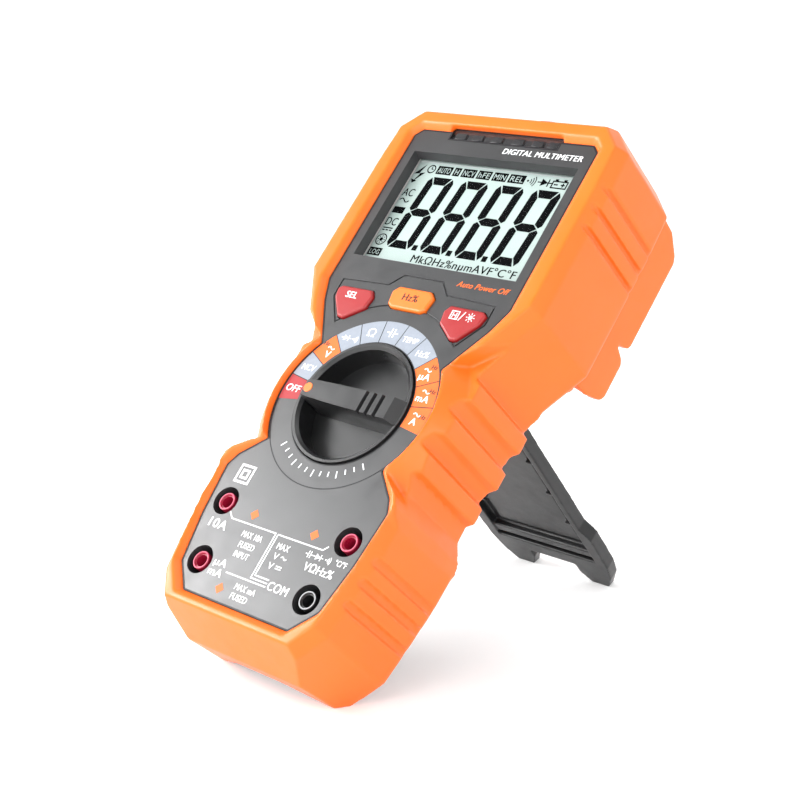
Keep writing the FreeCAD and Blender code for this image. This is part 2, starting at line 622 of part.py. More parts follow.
def make_cell(x):
    """Small cylindrical cell with its raised contact."""
    body = Part.makeCylinder(CELL_RADIUS, CELL_LENGTH - 0.8, V(x, BAY_Y0 + 4.4, CELL_Z), Y_AXIS)
    tip = Part.makeCylinder(1.9, 0.8, V(x, BAY_Y0 + 4.4 + CELL_LENGTH - 0.8, CELL_Z), Y_AXIS)
    return fuse([body, tip])


def make_battery_plates():
    """Flat contacts at the cells' raised ends."""
    z0, z1 = CELL_Z - 4.0, CELL_Z + 4.0
    return [block(x - 4.0, x + 4.0, BAY_Y1 - 0.5, BAY_Y1, z0, z1) for x in cell_places()]


def make_battery_springs():
    """Bent leaf springs at the cells' flat ends."""
    wall, tip = BAY_Y0 + 0.01, BAY_Y0 + 4.3
    low, middle, high = CELL_Z - 4.0, CELL_Z, CELL_Z + 4.0
    leaf = [(wall, low), (wall + 0.4, low), (wall + 0.4, middle), (tip, middle + 1.6), (wall + 1.6, high),
            (wall + 1.2, high - 0.4), (tip - 0.6, middle + 1.6), (wall, middle + 0.5)]
    return [side_prism(leaf, x - 2.5, x + 2.5) for x in cell_places()]


def make_kickstand():
    """Tray-shaped leg, drawn folded: side flanges, sunk floor, cross bar and two pointed feet."""
    outline = [(x, HINGE_Y - d) for x, d in STAND_HALF]
    outline = whole(outline)
    body = prism(outline, STAND_OUTER, STAND_INNER)
    floor_half = [(22.4, 8.0), (21.9, 66.5), (21.9, 88.0), (8.4, 88.0)]
    floor = whole([(x, HINGE_Y - d) for x, d in floor_half])
    body = body.cut(prism(floor, STAND_FLOOR, -20))
    inner = prism(whole([(x, HINGE_Y - d) for x, d in ((18.6, 17.0), (18.2, 79.0))]), STAND_FLOOR, -36.1)
    webs = []
    for d in (30.0, 48.0, 66.0):
        webs.append(block(-22.6, 22.6, HINGE_Y - d - 0.6, HINGE_Y - d + 0.6, STAND_FLOOR, -34.6))
    webs = [web.cut(block(-18.0, 18.0, -FAR, FAR, -40, -30)) for web in webs]
    crossbar = block(-22.2, 22.2, HINGE_Y - 86.0, HINGE_Y - 82.0, STAND_FLOOR, -34.2)
    barrel = Part.makeCylinder(2.6, 51.0, V(-25.5, HINGE_Y, HINGE_Z), X_AXIS)
    arm = block(-25.0, 25.0, HINGE_Y - 12.5, HINGE_Y, STAND_OUTER, STAND_FLOOR + 0.6)
    body = fuse([body, inner, crossbar, barrel, arm] + webs)
    slot = block(-8.0, 8.0, HINGE_Y - 7.6, HINGE_Y + 4, -50, -30)
    bore = Part.makeCylinder(1.62, 80, V(-40, HINGE_Y, HINGE_Z), X_AXIS)
    return cut(body, [slot, bore])


def make_stand_pin():
    """Steel pin through the lugs and the kickstand's barrel."""
    return Part.makeCylinder(1.5, 57.2, V(-28.6, HINGE_Y, HINGE_Z), X_AXIS)


def opened(shape):
    """Kickstand swung out to its stop, with its feet cut level with the floor."""
    shape = shape.copy()
    shape.rotate(V(0, HINGE_Y, HINGE_Z), X_AXIS, STAND_OPEN_ANGLE)
    near = BOTTOM_HEEL
    far = (near[0] + FAR * FLOOR_BACK[0], near[1] + FAR * FLOOR_BACK[1])
    below = [near, far, (far[0] - 30 * FLOOR_UP[0], far[1] - 30 * FLOOR_UP[1]),
             (near[0] - 30 * FLOOR_UP[0], near[1] - 30 * FLOOR_UP[1])]
    return shape.cut(side_prism(below, -FAR, FAR))


def all_nodes():
    """Every sub-part in the panel frame, as name and shape."""
    nodes = {
        "protective_holster": make_holster(),
        "probe_clip_left": make_probe_clip(-1),
        "probe_clip_right": make_probe_clip(1),
        "front_case": make_front_case(),
        "indicator_strip": make_indicator_strip(),
        "indicator_lamps": make_indicator_lamps(),
        "sensor_window": make_sensor_window(),
        "lcd_lens": make_lcd_lens(),
        "lcd_bezel": make_lcd_bezel(),
        "lcd_glass": make_lcd_glass(),
        "backlight_panel": make_backlight(),
        "zebra_strip": make_zebra_strip(),
        "selector_knob": make_knob(),
        "pointer_insert": make_pointer_insert(),
        "contact_carrier": make_contact_carrier(),
        "wiper_contacts": make_wiper_contacts(),
        "detent_balls": make_detent_balls(),
        "retaining_clip": make_retaining_clip(),
        "detent_ring": make_detent_ring(),
        "tact_switches": make_tact_switches(),
        "main_pcb": make_pcb(),
        "pcb_screws": make_pcb_screws(),
        "measuring_chips": make_chips(),
        "buzzer": make_buzzer(),
        "fuse_10a": make_fuse(-52.0, 3.2),
        "fuse_ma": make_fuse(-62.5, 3.2),
        "fuse_clips": make_fuse_clips(),
        "current_shunt": make_current_shunt(),
        "rear_case": make_rear_case(),
        "battery_cover": make_battery_cover(),
        "battery_cover_screw": make_battery_cover_screw(),
        "case_screws": make_case_screws(),
        "battery_plates": make_battery_plates(),
        "battery_springs": make_battery_springs(),
        "stand_pin": make_stand_pin(),
        "kickstand": opened(make_kickstand()),
    }
    for name, outline in button_outlines():
        nodes[name] = make_button(outline)
    for name, x, y in JACKS:
        nodes["jack_post_" + name] = make_jack_post(x, y)
        nodes["jack_contact_" + name] = make_jack_contact(x, y)
    for number, x in enumerate(cell_places(), 1):
        nodes["battery_cell_%d" % number] = make_cell(x)
    return nodes


def set_down(shape, shift):
    """Shape tilted to its stance and moved onto the floor."""
    shape = shape.copy()
    shape.rotate(ORIGIN, X_AXIS, PANEL_TILT)
    shape.translate(shift)
    return shape


def main():
    os.makedirs("parts", exist_ok=True)
    shapes = {}
    for name, shape in all_nodes().items():
        shape = Part.makeCompound(shape) if isinstance(shape, list) else shape
        shapes[name] = set_down(shape, ORIGIN)
    box = Part.makeCompound(list(shapes.values())).optimalBoundingBox(False)
    shift = V(-(box.XMin + box.XMax) / 2, -(box.YMin + box.YMax) / 2, -box.ZMin)
    for name, shape in shapes.items():
        shape.translate(shift)
        if not shape.isValid() or min(solid.Volume for solid in shape.Solids) <= 0:
            raise RuntimeError(name + " is not a sound solid")
        print("%-22s solids %d  volume %.0f mm3" % (name, len(shape.Solids), shape.Volume))
        shape.exportStep("parts/" + name + ".step")
    print("size", round(box.XLength, 2), round(box.YLength, 2), round(box.ZLength, 2))
    print("shift from the dial's centre", round(shift.x, 3), round(shift.y, 3), round(shift.z, 3))


main()
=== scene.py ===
import json
import math

import bmesh
import bpy
from mathutils import Matrix, Vector


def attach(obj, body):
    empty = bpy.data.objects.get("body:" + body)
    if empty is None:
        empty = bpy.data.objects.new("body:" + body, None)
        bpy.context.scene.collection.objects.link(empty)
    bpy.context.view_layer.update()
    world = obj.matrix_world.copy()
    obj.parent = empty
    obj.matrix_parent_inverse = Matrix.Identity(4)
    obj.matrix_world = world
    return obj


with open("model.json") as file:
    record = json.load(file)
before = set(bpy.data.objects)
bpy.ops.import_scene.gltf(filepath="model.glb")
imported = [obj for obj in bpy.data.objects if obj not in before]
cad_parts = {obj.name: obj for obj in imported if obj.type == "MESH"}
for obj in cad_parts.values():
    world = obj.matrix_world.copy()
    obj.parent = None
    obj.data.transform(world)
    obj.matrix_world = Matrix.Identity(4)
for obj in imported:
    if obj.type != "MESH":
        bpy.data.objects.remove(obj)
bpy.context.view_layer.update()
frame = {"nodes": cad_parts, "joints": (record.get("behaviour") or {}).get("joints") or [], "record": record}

# Digital multimeter on its kickstand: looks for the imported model. Prints and display marks are
# drawn in the panel frame, in mm: origin at the dial's centre on the panel's face, x to the
# right, y up the panel, z out of the front. place() turns that into the row frame, in metres.

MM = 0.001
JOINTS = {joint["name"]: joint for joint in frame["joints"]}

# Depth of the knob joint's point under the panel's face
KNOB_PIVOT_DEPTH = 5.0

# Camera in the panel frame, with its roll from level in degrees and its lens in mm
CAMERA_PLACE = (324.14, -134.47, 328.92)
CAMERA_AIM = (10.96, 7.31, -6.07)
CAMERA_ROLL = 29.49
CAMERA_LENS = 70.78

# Print thickness, capital height in a font of size 1, and merge distance within a letter
INK = 0.03
CAPITALS = 0.72
SEAM = 0.002

# Levels of the printed faces
PANEL_FACE = 0.0
LCD_FACE = -4.7
LENS_FACE = -3.25

# Dial print: radii in mm, angles in degrees, ticks along the lower arc
DIAL_INNER, DIAL_OUTER = 22.1, 30.0
SECTOR_STEP = 18.0
FIRST_SECTOR = 189.0
DIVIDER = 0.28
WORD_RADIUS, SYMBOL_RADIUS, RANGE_RADIUS, RATE_RADIUS = 26.2, 26.0, 25.4, 28.3
TICK_INNER, TICK_OUTER, TICK_LONG = 24.2, 25.9, 26.6
TICK_STEP, TICK_WIDTH, TICKS_EACH_SIDE = 7.0, 0.4, 6

# Rules between the jacks
RULE = 0.42

# Mesh finish: angles in degrees, distances in mm
CREASE_ANGLE = 32.0
FLAT_ANGLE = 0.6
BEVEL_ANGLE = 18.0
WELD_GAP = 0.005

# Studio floor, in metres: flat disc, cove and wall
FLOOR_RADIUS, COVE_RADIUS, WALL_TOP = 1.3, 0.7, 2.6
COVE_STEPS, FLOOR_STEPS = 12, 96

normal = -Vector(JOINTS["knob_turn"]["axis"])
right = Vector((1, 0, 0))
up = normal.cross(right)
PANEL = Matrix((right, up, normal)).transposed().to_4x4()
PANEL.translation = Vector(JOINTS["knob_turn"]["pos_m"]) + normal * KNOB_PIVOT_DEPTH * MM


def place(x, y, z=0.0):
    """Point of the panel frame, in the row frame."""
    return PANEL @ Vector((x * MM, y * MM, z * MM))


# ---------------------------------------------------------------- materials

def new_material(name):
    """Empty node material with its shader."""
    mat = bpy.data.materials.new(name)
    mat.use_nodes = True
    tree = mat.node_tree
    tree.nodes.clear()
    shader = tree.nodes.new("ShaderNodeBsdfPrincipled")
    output = tree.nodes.new("ShaderNodeOutputMaterial")
    tree.links.new(shader.outputs["BSDF"], output.inputs["Surface"])
    return mat, tree, shader


def noise(tree, scale, detail=3.0, roughness=0.5):
    """Noise that is fixed to the object."""
    coords = tree.nodes.new("ShaderNodeTexCoord")
    texture = tree.nodes.new("ShaderNodeTexNoise")
    texture.inputs["Scale"].default_value = scale
    texture.inputs["Detail"].default_value = detail
    texture.inputs["Roughness"].default_value = roughness
    tree.links.new(coords.outputs["Object"], texture.inputs["Vector"])
    return texture.outputs["Fac"]


def spread(tree, value, low, high):
    """Noise value spread over a range."""
    node = tree.nodes.new("ShaderNodeMapRange")
    node.inputs["From Min"].default_value = 0.3
    node.inputs["From Max"].default_value = 0.7
    node.inputs["To Min"].default_value = low
    node.inputs["To Max"].default_value = high
    tree.links.new(value, node.inputs["Value"])
    return node.outputs["Result"]


def tinted(tree, value, dark, light):
    """Colour that varies between two shades."""
    node = tree.nodes.new("ShaderNodeMix")
    node.data_type = "RGBA"
    node.inputs[6].default_value = (*dark, 1)
    node.inputs[7].default_value = (*light, 1)
    tree.links.new(value, node.inputs[0])
    return node.outputs[2]


def bumped(tree, shader, value, depth_mm, strength=1.0):
    """Surface grain of a real depth."""
    node = tree.nodes.new("ShaderNodeBump")
    node.inputs["Distance"].default_value = depth_mm * MM
    node.inputs["Strength"].default_value = strength
    tree.links.new(value, node.inputs["Height"])
    tree.links.new(node.outputs["Normal"], shader.inputs["Normal"])


def moulded(name, colour, roughness, grain_mm, depth_mm, mottle=0.06, specular=0.5):
    """Moulded plastic or rubber: mottled shade, uneven gloss and a fine eroded grain."""
    mat, tree, shader = new_material(name)
    broad = noise(tree, 55.0, 4.0)
    dark = [c * (1 - mottle) for c in colour]
    light = [min(1.0, c * (1 + mottle)) for c in colour]
    tree.links.new(tinted(tree, spread(tree, broad, 0.0, 1.0), dark, light), shader.inputs["Base Color"])
    smudge = noise(tree, 140.0, 5.0, 0.6)
    tree.links.new(spread(tree, smudge, roughness - 0.05, roughness + 0.06), shader.inputs["Roughness"])
    shader.inputs["Specular IOR Level"].default_value = specular
    bumped(tree, shader, noise(tree, 1000.0 / grain_mm, 2.0), depth_mm)
    return mat


def metal(name, colour, roughness, brush_mm=0.15):
    """Drawn or plated metal with fine scratches."""
    mat, tree, shader = new_material(name)
    shader.inputs["Metallic"].default_value = 1.0
    scratch = noise(tree, 1000.0 / brush_mm, 2.0, 0.7)
    dark = [c * 0.86 for c in colour]
    tree.links.new(tinted(tree, spread(tree, scratch, 0.0, 1.0), dark, colour), shader.inputs["Base Color"])
    tree.links.new(spread(tree, scratch, roughness - 0.06, roughness + 0.1), shader.inputs["Roughness"])
    bumped(tree, shader, scratch, 0.01, 0.6)
    return mat


def ink(name, colour, roughness=0.5, specular=0.3):
    """Screen-printed ink with a slightly uneven film."""
    mat, tree, shader = new_material(name)
    film = noise(tree, 900.0, 3.0)
    dark = [c * 0.9 for c in colour]
    tree.links.new(tinted(tree, spread(tree, film, 0.0, 1.0), dark, colour), shader.inputs["Base Color"])
    tree.links.new(spread(tree, film, roughness - 0.06, roughness + 0.08), shader.inputs["Roughness"])
    shader.inputs["Specular IOR Level"].default_value = specular
    return mat


def display_face(name):
    """Reflective display background: pale grey-green, in two shades mixed by a broad noise."""
    mat, tree, shader = new_material(name)
    cell = noise(tree, 2600.0, 2.0)
    broad = noise(tree, 18.0, 2.0)
    shade = tinted(tree, spread(tree, broad, 0.0, 1.0), (0.37, 0.46, 0.435), (0.43, 0.52, 0.495))
    tree.links.new(shade, shader.inputs["Base Color"])
    tree.links.new(spread(tree, cell, 0.4, 0.5), shader.inputs["Roughness"])
    shader.inputs["Specular IOR Level"].default_value = 0.15
    bumped(tree, shader, cell, 0.004, 0.5)
    return mat


def clear_lens(name):
    """Clear acrylic that mostly lets the display through."""
    mat, tree, shader = new_material(name)
    shader.inputs["Base Color"].default_value = (0.02, 0.022, 0.022, 1)
    shader.inputs["Alpha"].default_value = 0.02
    shader.inputs["Specular IOR Level"].default_value = 0.3
    smear = noise(tree, 90.0, 4.0)
    tree.links.new(spread(tree, smear, 0.03, 0.09), shader.inputs["Roughness"])
    return mat


def board_material(name):
    """Green solder mask with lighter copper runs under it."""
    mat, tree, shader = new_material(name)
    coords = tree.nodes.new("ShaderNodeTexCoord")
    bricks = tree.nodes.new("ShaderNodeTexBrick")
    bricks.inputs["Scale"].default_value = 120.0
    bricks.inputs["Mortar Size"].default_value = 0.06
    bricks.inputs["Color1"].default_value = (0.01, 0.12, 0.04, 1)
    bricks.inputs["Color2"].default_value = (0.015, 0.16, 0.05, 1)
    bricks.inputs["Mortar"].default_value = (0.05, 0.3, 0.1, 1)
    tree.links.new(coords.outputs["Object"], bricks.inputs["Vector"])
    tree.links.new(bricks.outputs["Color"], shader.inputs["Base Color"])
    shader.inputs["Roughness"].default_value = 0.3
    bumped(tree, shader, bricks.outputs["Fac"], 0.03, 0.4)
    return mat


MATERIALS = {
    "holster_rubber": moulded("holster_elastomer", (0.94, 0.15, 0.011), 0.36, 0.30, 0.01, 0.03, 0.4),
    "case_plastic": moulded("case_spark_texture", (0.034, 0.0345, 0.036), 0.33, 0.22, 0.012, 0.08, 0.6),
    "knob_plastic": moulded("knob_satin", (0.012, 0.0123, 0.013), 0.32, 0.25, 0.012, 0.08, 0.6),
    "stand_plastic": moulded("stand_satin", (0.007, 0.0073, 0.008), 0.38, 0.3, 0.02, 0.1, 0.45),
    "button_red": moulded("button_red", (0.3, 0.012, 0.014), 0.38, 0.25, 0.008, 0.05),
    "button_orange": moulded("button_orange", (0.88, 0.16, 0.012), 0.38, 0.25, 0.008, 0.04),
    "smoked_lens": moulded("smoked_lens", (0.02, 0.02, 0.022), 0.16, 0.6, 0.003, 0.1, 0.6),
    "clear_lens": clear_lens("clear_acrylic"),
    "lcd_face": display_face("display_face"),
    "white_plastic": moulded("white_nylon", (0.78, 0.78, 0.74), 0.5, 0.3, 0.01),
    "lamp_resin": moulded("lamp_resin", (0.85, 0.85, 0.7), 0.2, 0.5, 0.004),
    "contact_rubber": moulded("contact_rubber", (0.45, 0.28, 0.3), 0.6, 0.2, 0.02),
    "circuit_board": board_material("solder_mask"),
    "chip_resin": moulded("chip_resin", (0.02, 0.02, 0.021), 0.5, 0.15, 0.01),
    "steel": metal("bright_steel", (0.6, 0.6, 0.62), 0.25),
    "brass": metal("turned_brass", (0.82, 0.6, 0.24), 0.25),
    "jack_red": moulded("jack_red", (0.3, 0.006, 0.03), 0.3, 0.4, 0.006),
    "jack_black": moulded("jack_black", (0.012, 0.012, 0.013), 0.3, 0.4, 0.006),
    "fuse_glass": moulded("fuse_ceramic", (0.8, 0.79, 0.75), 0.3, 0.5, 0.006),
    "cell_sleeve": moulded("cell_sleeve", (0.03, 0.1, 0.32), 0.22, 0.8, 0.004),
}
INKS = {
    "white": ink("ink_white", (0.86, 0.87, 0.88)),
    "black": ink("ink_black", (0.012, 0.012, 0.014)),
    "orange": ink("ink_orange", (0.78, 0.14, 0.02)),
    "red": ink("ink_red", (0.36, 0.03, 0.035)),
    "grey": ink("ink_grey", (0.27, 0.3, 0.35)),
    "pink": ink("ink_pink", (0.6, 0.1, 0.17)),
    "silver": ink("ink_silver", (0.35, 0.36, 0.37)),
    "display": ink("display_segment", (0.003, 0.0035, 0.004), 0.75, 0.02),
}


# ---------------------------------------------------------------- CAD nodes

# Nodes that are rounded all over: grid in mm, smoothing passes, share of the faces kept
REMESHED = {
    "protective_holster": (0.5, 7, 0.25), "probe_clip_left": (0.45, 7, 0.4),
    "probe_clip_right": (0.45, 7, 0.4), "kickstand": (0.35, 2, 0.3),
}
# Nodes that get rounded edges: width in mm, segments
BEVELS = {
    "select_button": (0.45, 4), "hold_button": (0.45, 4), "frequency_button": (0.45, 4),
    "selector_knob": (0.3, 3), "pointer_insert": (0.12, 2),
    "indicator_strip": (0.2, 2), "sensor_window": (0.4, 3),
}


def crease_group():
    """Node group that shades a mesh smooth, apart from its sharp edges."""
    group = bpy.data.node_groups.new("smooth_by_angle", "GeometryNodeTree")
    group.interface.new_socket("Geometry", in_out="INPUT", socket_type="NodeSocketGeometry")
    group.interface.new_socket("Geometry", in_out="OUTPUT", socket_type="NodeSocketGeometry")
    start, end = group.nodes.new("NodeGroupInput"), group.nodes.new("NodeGroupOutput")
    faces = group.nodes.new("GeometryNodeSetShadeSmooth")
    edges = group.nodes.new("GeometryNodeSetShadeSmooth")
    edges.domain = "EDGE"
    angle = group.nodes.new("GeometryNodeInputMeshEdgeAngle")
    flat = group.nodes.new("FunctionNodeCompare")
    flat.operation = "LESS_THAN"
    flat.inputs["B"].default_value = math.radians(CREASE_ANGLE)
    group.links.new(start.outputs[0], faces.inputs["Geometry"])
    group.links.new(faces.outputs["Geometry"], edges.inputs["Geometry"])
    group.links.new(angle.outputs["Unsigned Angle"], flat.inputs["A"])
    group.links.new(flat.outputs["Result"], edges.inputs["Shade Smooth"])
    group.links.new(edges.outputs["Geometry"], end.inputs[0])
    return group


def soften(node, width_mm, segments, group):
    """Rounds a CAD node's edges with modifiers, which leave its mesh as it is."""
    weld = node.modifiers.new("weld", "WELD")
    weld.merge_threshold = WELD_GAP * MM
    flat = node.modifiers.new("flatten", "DECIMATE")
    flat.decimate_type = "DISSOLVE"
    flat.angle_limit = math.radians(FLAT_ANGLE)
    bevel = node.modifiers.new("round", "BEVEL")
    bevel.width = width_mm * MM
    bevel.segments = segments
    bevel.limit_method = "ANGLE"
    bevel.angle_limit = math.radians(BEVEL_ANGLE)
    bevel.use_clamp_overlap = True
    bevel.miter_outer = "MITER_ARC"
    node.modifiers.new("crease", "NODES").node_group = group
    node.modifiers.new("normals", "WEIGHTED_NORMAL").keep_sharp = True


def soft_mould(node, grid_mm, passes, keep, group):
    """Rounds every edge of a moulded part with modifiers."""
    remesh = node.modifiers.new("grid", "REMESH")
    remesh.mode = "VOXEL"
    remesh.voxel_size = grid_mm * MM
    smooth = node.modifiers.new("soften", "SMOOTH")
    smooth.factor = 0.5
    smooth.iterations = passes
    thin = node.modifiers.new("thin_out", "DECIMATE")
    thin.ratio = keep
    node.modifiers.new("crease", "NODES").node_group = group


def smooth_by_angle(obj):
    """Smooth faces, with sharp edges kept."""
    for polygon in obj.data.polygons:
        polygon.use_smooth = True
    obj.data.set_sharp_from_angle(angle=math.radians(CREASE_ANGLE))


def finish_nodes():
    """Material and edge rounding of every CAD node."""
    slots = {part["node"]: part["material_slot"] for part in frame["record"]["subparts"]}
    group = crease_group()
    for name, node in frame["nodes"].items():
        node.data.materials.clear()
        node.data.materials.append(MATERIALS[slots[name]])
        if name in REMESHED:
            soft_mould(node, *REMESHED[name], group)
        elif name in BEVELS:
            soften(node, *BEVELS[name], group)
        else:
            smooth_by_angle(node)


# ---------------------------------------------------------------- prints

def bar(x0, y0, x1, y1, width):
    """Straight line of a given width, as one polygon."""
    run = math.hypot(x1 - x0, y1 - y0)
    nx, ny = -(y1 - y0) / run * width / 2, (x1 - x0) / run * width / 2
    return [(x0 + nx, y0 + ny), (x0 - nx, y0 - ny), (x1 - nx, y1 - ny), (x1 + nx, y1 + ny)]


def path(points, width):
    """Line through several points."""
    return [bar(*a, *b, width) for a, b in zip(points, points[1:])]


def rect(x0, y0, x1, y1):
    """Filled rectangle."""
    return [(x0, y0), (x1, y0), (x1, y1), (x0, y1)]


def band(x, y, inner, outer, start, end):
    """Part of a ring, as a run of small polygons."""
    count = max(4, int(abs(end - start) / 3))
    turns = [math.radians(start + (end - start) * i / count) for i in range(count + 1)]
    rim = [(math.cos(a), math.sin(a)) for a in turns]
    return [[(x + inner * c0, y + inner * s0), (x + outer * c0, y + outer * s0),
             (x + outer * c1, y + outer * s1), (x + inner * c1, y + inner * s1)]
            for (c0, s0), (c1, s1) in zip(rim, rim[1:])]


def frame_of(x0, y0, x1, y1, width):
    """Outline of a rectangle."""
    return [rect(x0, y0, x1, y0 + width), rect(x0, y1 - width, x1, y1),
            rect(x0, y0 + width, x0 + width, y1 - width), rect(x1 - width, y0 + width, x1, y1 - width)]


def dot(x, y, radius):
    """Filled circle."""
    return [[(x + radius * math.cos(math.radians(a)), y + radius * math.sin(math.radians(a)))
             for a in range(0, 360, 15)]]


class Print:
    """One colour of print: closed thin plates that share one mesh."""

    def __init__(self, name, material, slot, level, body="case", thickness=INK):
        self.name, self.material, self.slot = name, material, slot
        self.level, self.body, self.thickness = level, body, thickness
        self.mesh = bmesh.new()

    def add(self, polygons):
        """Adds flat polygons, given in mm in the panel frame."""
        for polygon in polygons:
            low = [self.mesh.verts.new((x, y, self.level)) for x, y in polygon]
            high = [self.mesh.verts.new((x, y, self.level + self.thickness)) for x, y in polygon]
            self.mesh.faces.new(high)
            self.mesh.faces.new(list(reversed(low)))
            for i in range(len(low)):
                j = (i + 1) % len(low)
                self.mesh.faces.new((low[i], low[j], high[j], high[i]))

    def write(self, text, x, y, height, width=None, shear=0.0, bold=0.0):
        """Adds lettering of a given capital height, centred on a point and fitted to a width.

        Bold lettering is struck twice, side by side, a small distance apart.
        """
        curve = bpy.data.curves.new("lettering", "FONT")
        curve.body = text
        curve.size = height / CAPITALS
        curve.align_x = "CENTER"
        curve.shear = shear
        curve.space_character = 1.06
        curve.resolution_u = 4
        curve.extrude = self.thickness / 2
        carrier = bpy.data.objects.new("lettering", curve)
        bpy.context.scene.collection.objects.link(carrier)
        bpy.context.view_layer.update()
        letters = bmesh.new()
        letters.from_mesh(carrier.evaluated_get(bpy.context.evaluated_depsgraph_get()).to_mesh())
        bmesh.ops.remove_doubles(letters, verts=letters.verts, dist=SEAM)
        natural = max(v.co.x for v in letters.verts) - min(v.co.x for v in letters.verts)
        stretch = width / natural if width else 1.0
        level = self.level + self.thickness / 2
        letters.transform(Matrix.Diagonal((stretch, 1, 1, 1)) @ Matrix.Translation((0, -height / 2, 0)))
        copy = bpy.data.meshes.new("lettering")
        letters.to_mesh(copy)
        letters.free()
        copy.transform(Matrix.Translation((x - bold / 2, y, level)))
        self.mesh.from_mesh(copy)
        if bold:
            copy.transform(Matrix.Translation((bold, 0, self.thickness / 8)))
            self.mesh.from_mesh(copy)
        bpy.data.meshes.remove(copy)
        bpy.data.objects.remove(carrier)
        bpy.data.curves.remove(curve)

    def finish(self):
        """Makes the piece and fixes it to its body."""
        bmesh.ops.recalc_face_normals(self.mesh, faces=self.mesh.faces)
        data = bpy.data.meshes.new(self.name)
        self.mesh.to_mesh(data)
        self.mesh.free()
        data.transform(PANEL @ Matrix.Scale(MM, 4))
        data.materials.append(self.material)
        piece = bpy.data.objects.new(self.name, data)
        bpy.context.scene.collection.objects.link(piece)
        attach(piece, self.body)
        return piece


# Symbols, drawn about their own centre at a given height

def diode(x, y, h):
    """Diode symbol."""
    return [bar(x - h, y, x + h, y, h * 0.14), [(x - h * 0.5, y + h * 0.5), (x - h * 0.5, y - h * 0.5),
            (x + h * 0.42, y)], rect(x + h * 0.38, y - h * 0.5, x + h * 0.54, y + h * 0.5)]


def sound(x, y, h):
    """Sounder symbol."""
    marks = dot(x - h * 0.6, y, h * 0.16)
    for radius in (0.45, 0.8, 1.15):
        marks += band(x - h * 0.6, y, h * radius, h * (radius + 0.13), -38, 38)
    return marks


def capacitor(x, y, h):
    """Capacitor symbol."""
    return [bar(x - h * 0.7, y, x - h * 0.18, y, h * 0.13), bar(x + h * 0.18, y, x + h * 0.7, y, h * 0.13),
            rect(x - h * 0.26, y - h * 0.5, x - h * 0.12, y + h * 0.5),
            rect(x + h * 0.12, y - h * 0.5, x + h * 0.26, y + h * 0.5)]


def wave(x, y, width, thickness):
    """Alternating-current mark."""
    points = [(x + width * (i / 12 - 0.5), y + width * 0.17 * math.sin(math.pi * i / 6)) for i in range(13)]
    return path(points, thickness)


def direct(x, y, width, thickness):
    """Direct-current mark: a line over three dashes."""
    marks = [bar(x - width / 2, y + thickness, x + width / 2, y + thickness, thickness)]
    for i in (-1, 0, 1):
        middle = x + i * width * 0.36
        x0, x1 = middle - width * 0.13, middle + width * 0.13
        marks.append(bar(x0, y - thickness, x1, y - thickness, thickness))
    return marks


def bolt(x, y, h):
    """High-voltage flash."""
    return [[(x + h * 0.16, y + h * 0.5), (x - h * 0.3, y - h * 0.06), (x - h * 0.02, y - h * 0.02)],
            [(x - h * 0.3, y - h * 0.06), (x + h * 0.3, y + h * 0.06), (x + h * 0.02, y - h * 0.02)],
            [(x + h * 0.3, y + h * 0.06), (x - h * 0.16, y - h * 0.5), (x + h * 0.05, y + h * 0.0)],
            [(x - h * 0.3, y - h * 0.34), (x - h * 0.16, y - h * 0.56), (x + h * 0.06, y - h * 0.42)]]


def battery(x, y, h):
    """Battery symbol with its two poles."""
    w = h * 0.85
    marks = frame_of(x - w, y - h * 0.5, x + w, y + h * 0.34, h * 0.13)
    marks += [rect(x - w * 0.75, y + h * 0.34, x - w * 0.35, y + h * 0.52)]
    marks += [rect(x + w * 0.35, y + h * 0.34, x + w * 0.75, y + h * 0.52)]
    marks += [bar(x - w * 0.7, y - h * 0.08, x - w * 0.2, y - h * 0.08, h * 0.13)]
    marks += [bar(x + w * 0.2, y - h * 0.08, x + w * 0.7, y - h * 0.08, h * 0.13)]
    return marks + [bar(x + w * 0.45, y - h * 0.3, x + w * 0.45, y + h * 0.14, h * 0.13)]


def sun(x, y, h):
    """Lamp symbol."""
    marks = dot(x, y, h * 0.26)
    for step in range(8):
        c, s = math.cos(step * math.pi / 4), math.sin(step * math.pi / 4)
        marks.append(bar(x + c * h * 0.36, y + s * h * 0.36, x + c * h * 0.58, y + s * h * 0.58, h * 0.09))
    return marks


def lozenge(x, y, h):
    """Plain diamond."""
    return [[(x, y + h / 2), (x - h / 2, y), (x, y - h / 2), (x + h / 2, y)]]


# ---------------------------------------------------------------- display

DIGIT_WIDTH, DIGIT_HEIGHT, STROKE = 11.3, 29.3, 3.05
DIGIT_X, DIGIT_Y, DIGIT_PITCH, DIGIT_SLANT = -28.3, 59.0, 14.72, 0.08


def digit(x, y):
    """All seven segments of one slanted figure, with its point."""
    w, h, t = DIGIT_WIDTH, DIGIT_HEIGHT, STROKE
    top = [(1.7, h), (w - 1.7, h), (w - t - 0.2, h - t), (t + 0.2, h - t)]
    side = [(1.15, h - 0.3), (t, h - t - 0.2), (t, h / 2 + t / 2 + 0.1), (1.05, h / 2 + 0.35),
            (0.0, h / 2 + 1.3), (0.0, h - 1.9)]
    middle = [(1.3, h / 2), (t + 0.3, h / 2 + t / 2), (w - t - 0.3, h / 2 + t / 2), (w - 1.3, h / 2),
              (w - t - 0.3, h / 2 - t / 2), (t + 0.3, h / 2 - t / 2)]
    marks = [top, [(a, h - b) for a, b in top], middle, side, [(a, h - b) for a, b in side],
             [(w - a, b) for a, b in side], [(w - a, h - b) for a, b in side]]
    return [[(x + a + b * DIGIT_SLANT, y + b) for a, b in mark] for mark in marks]


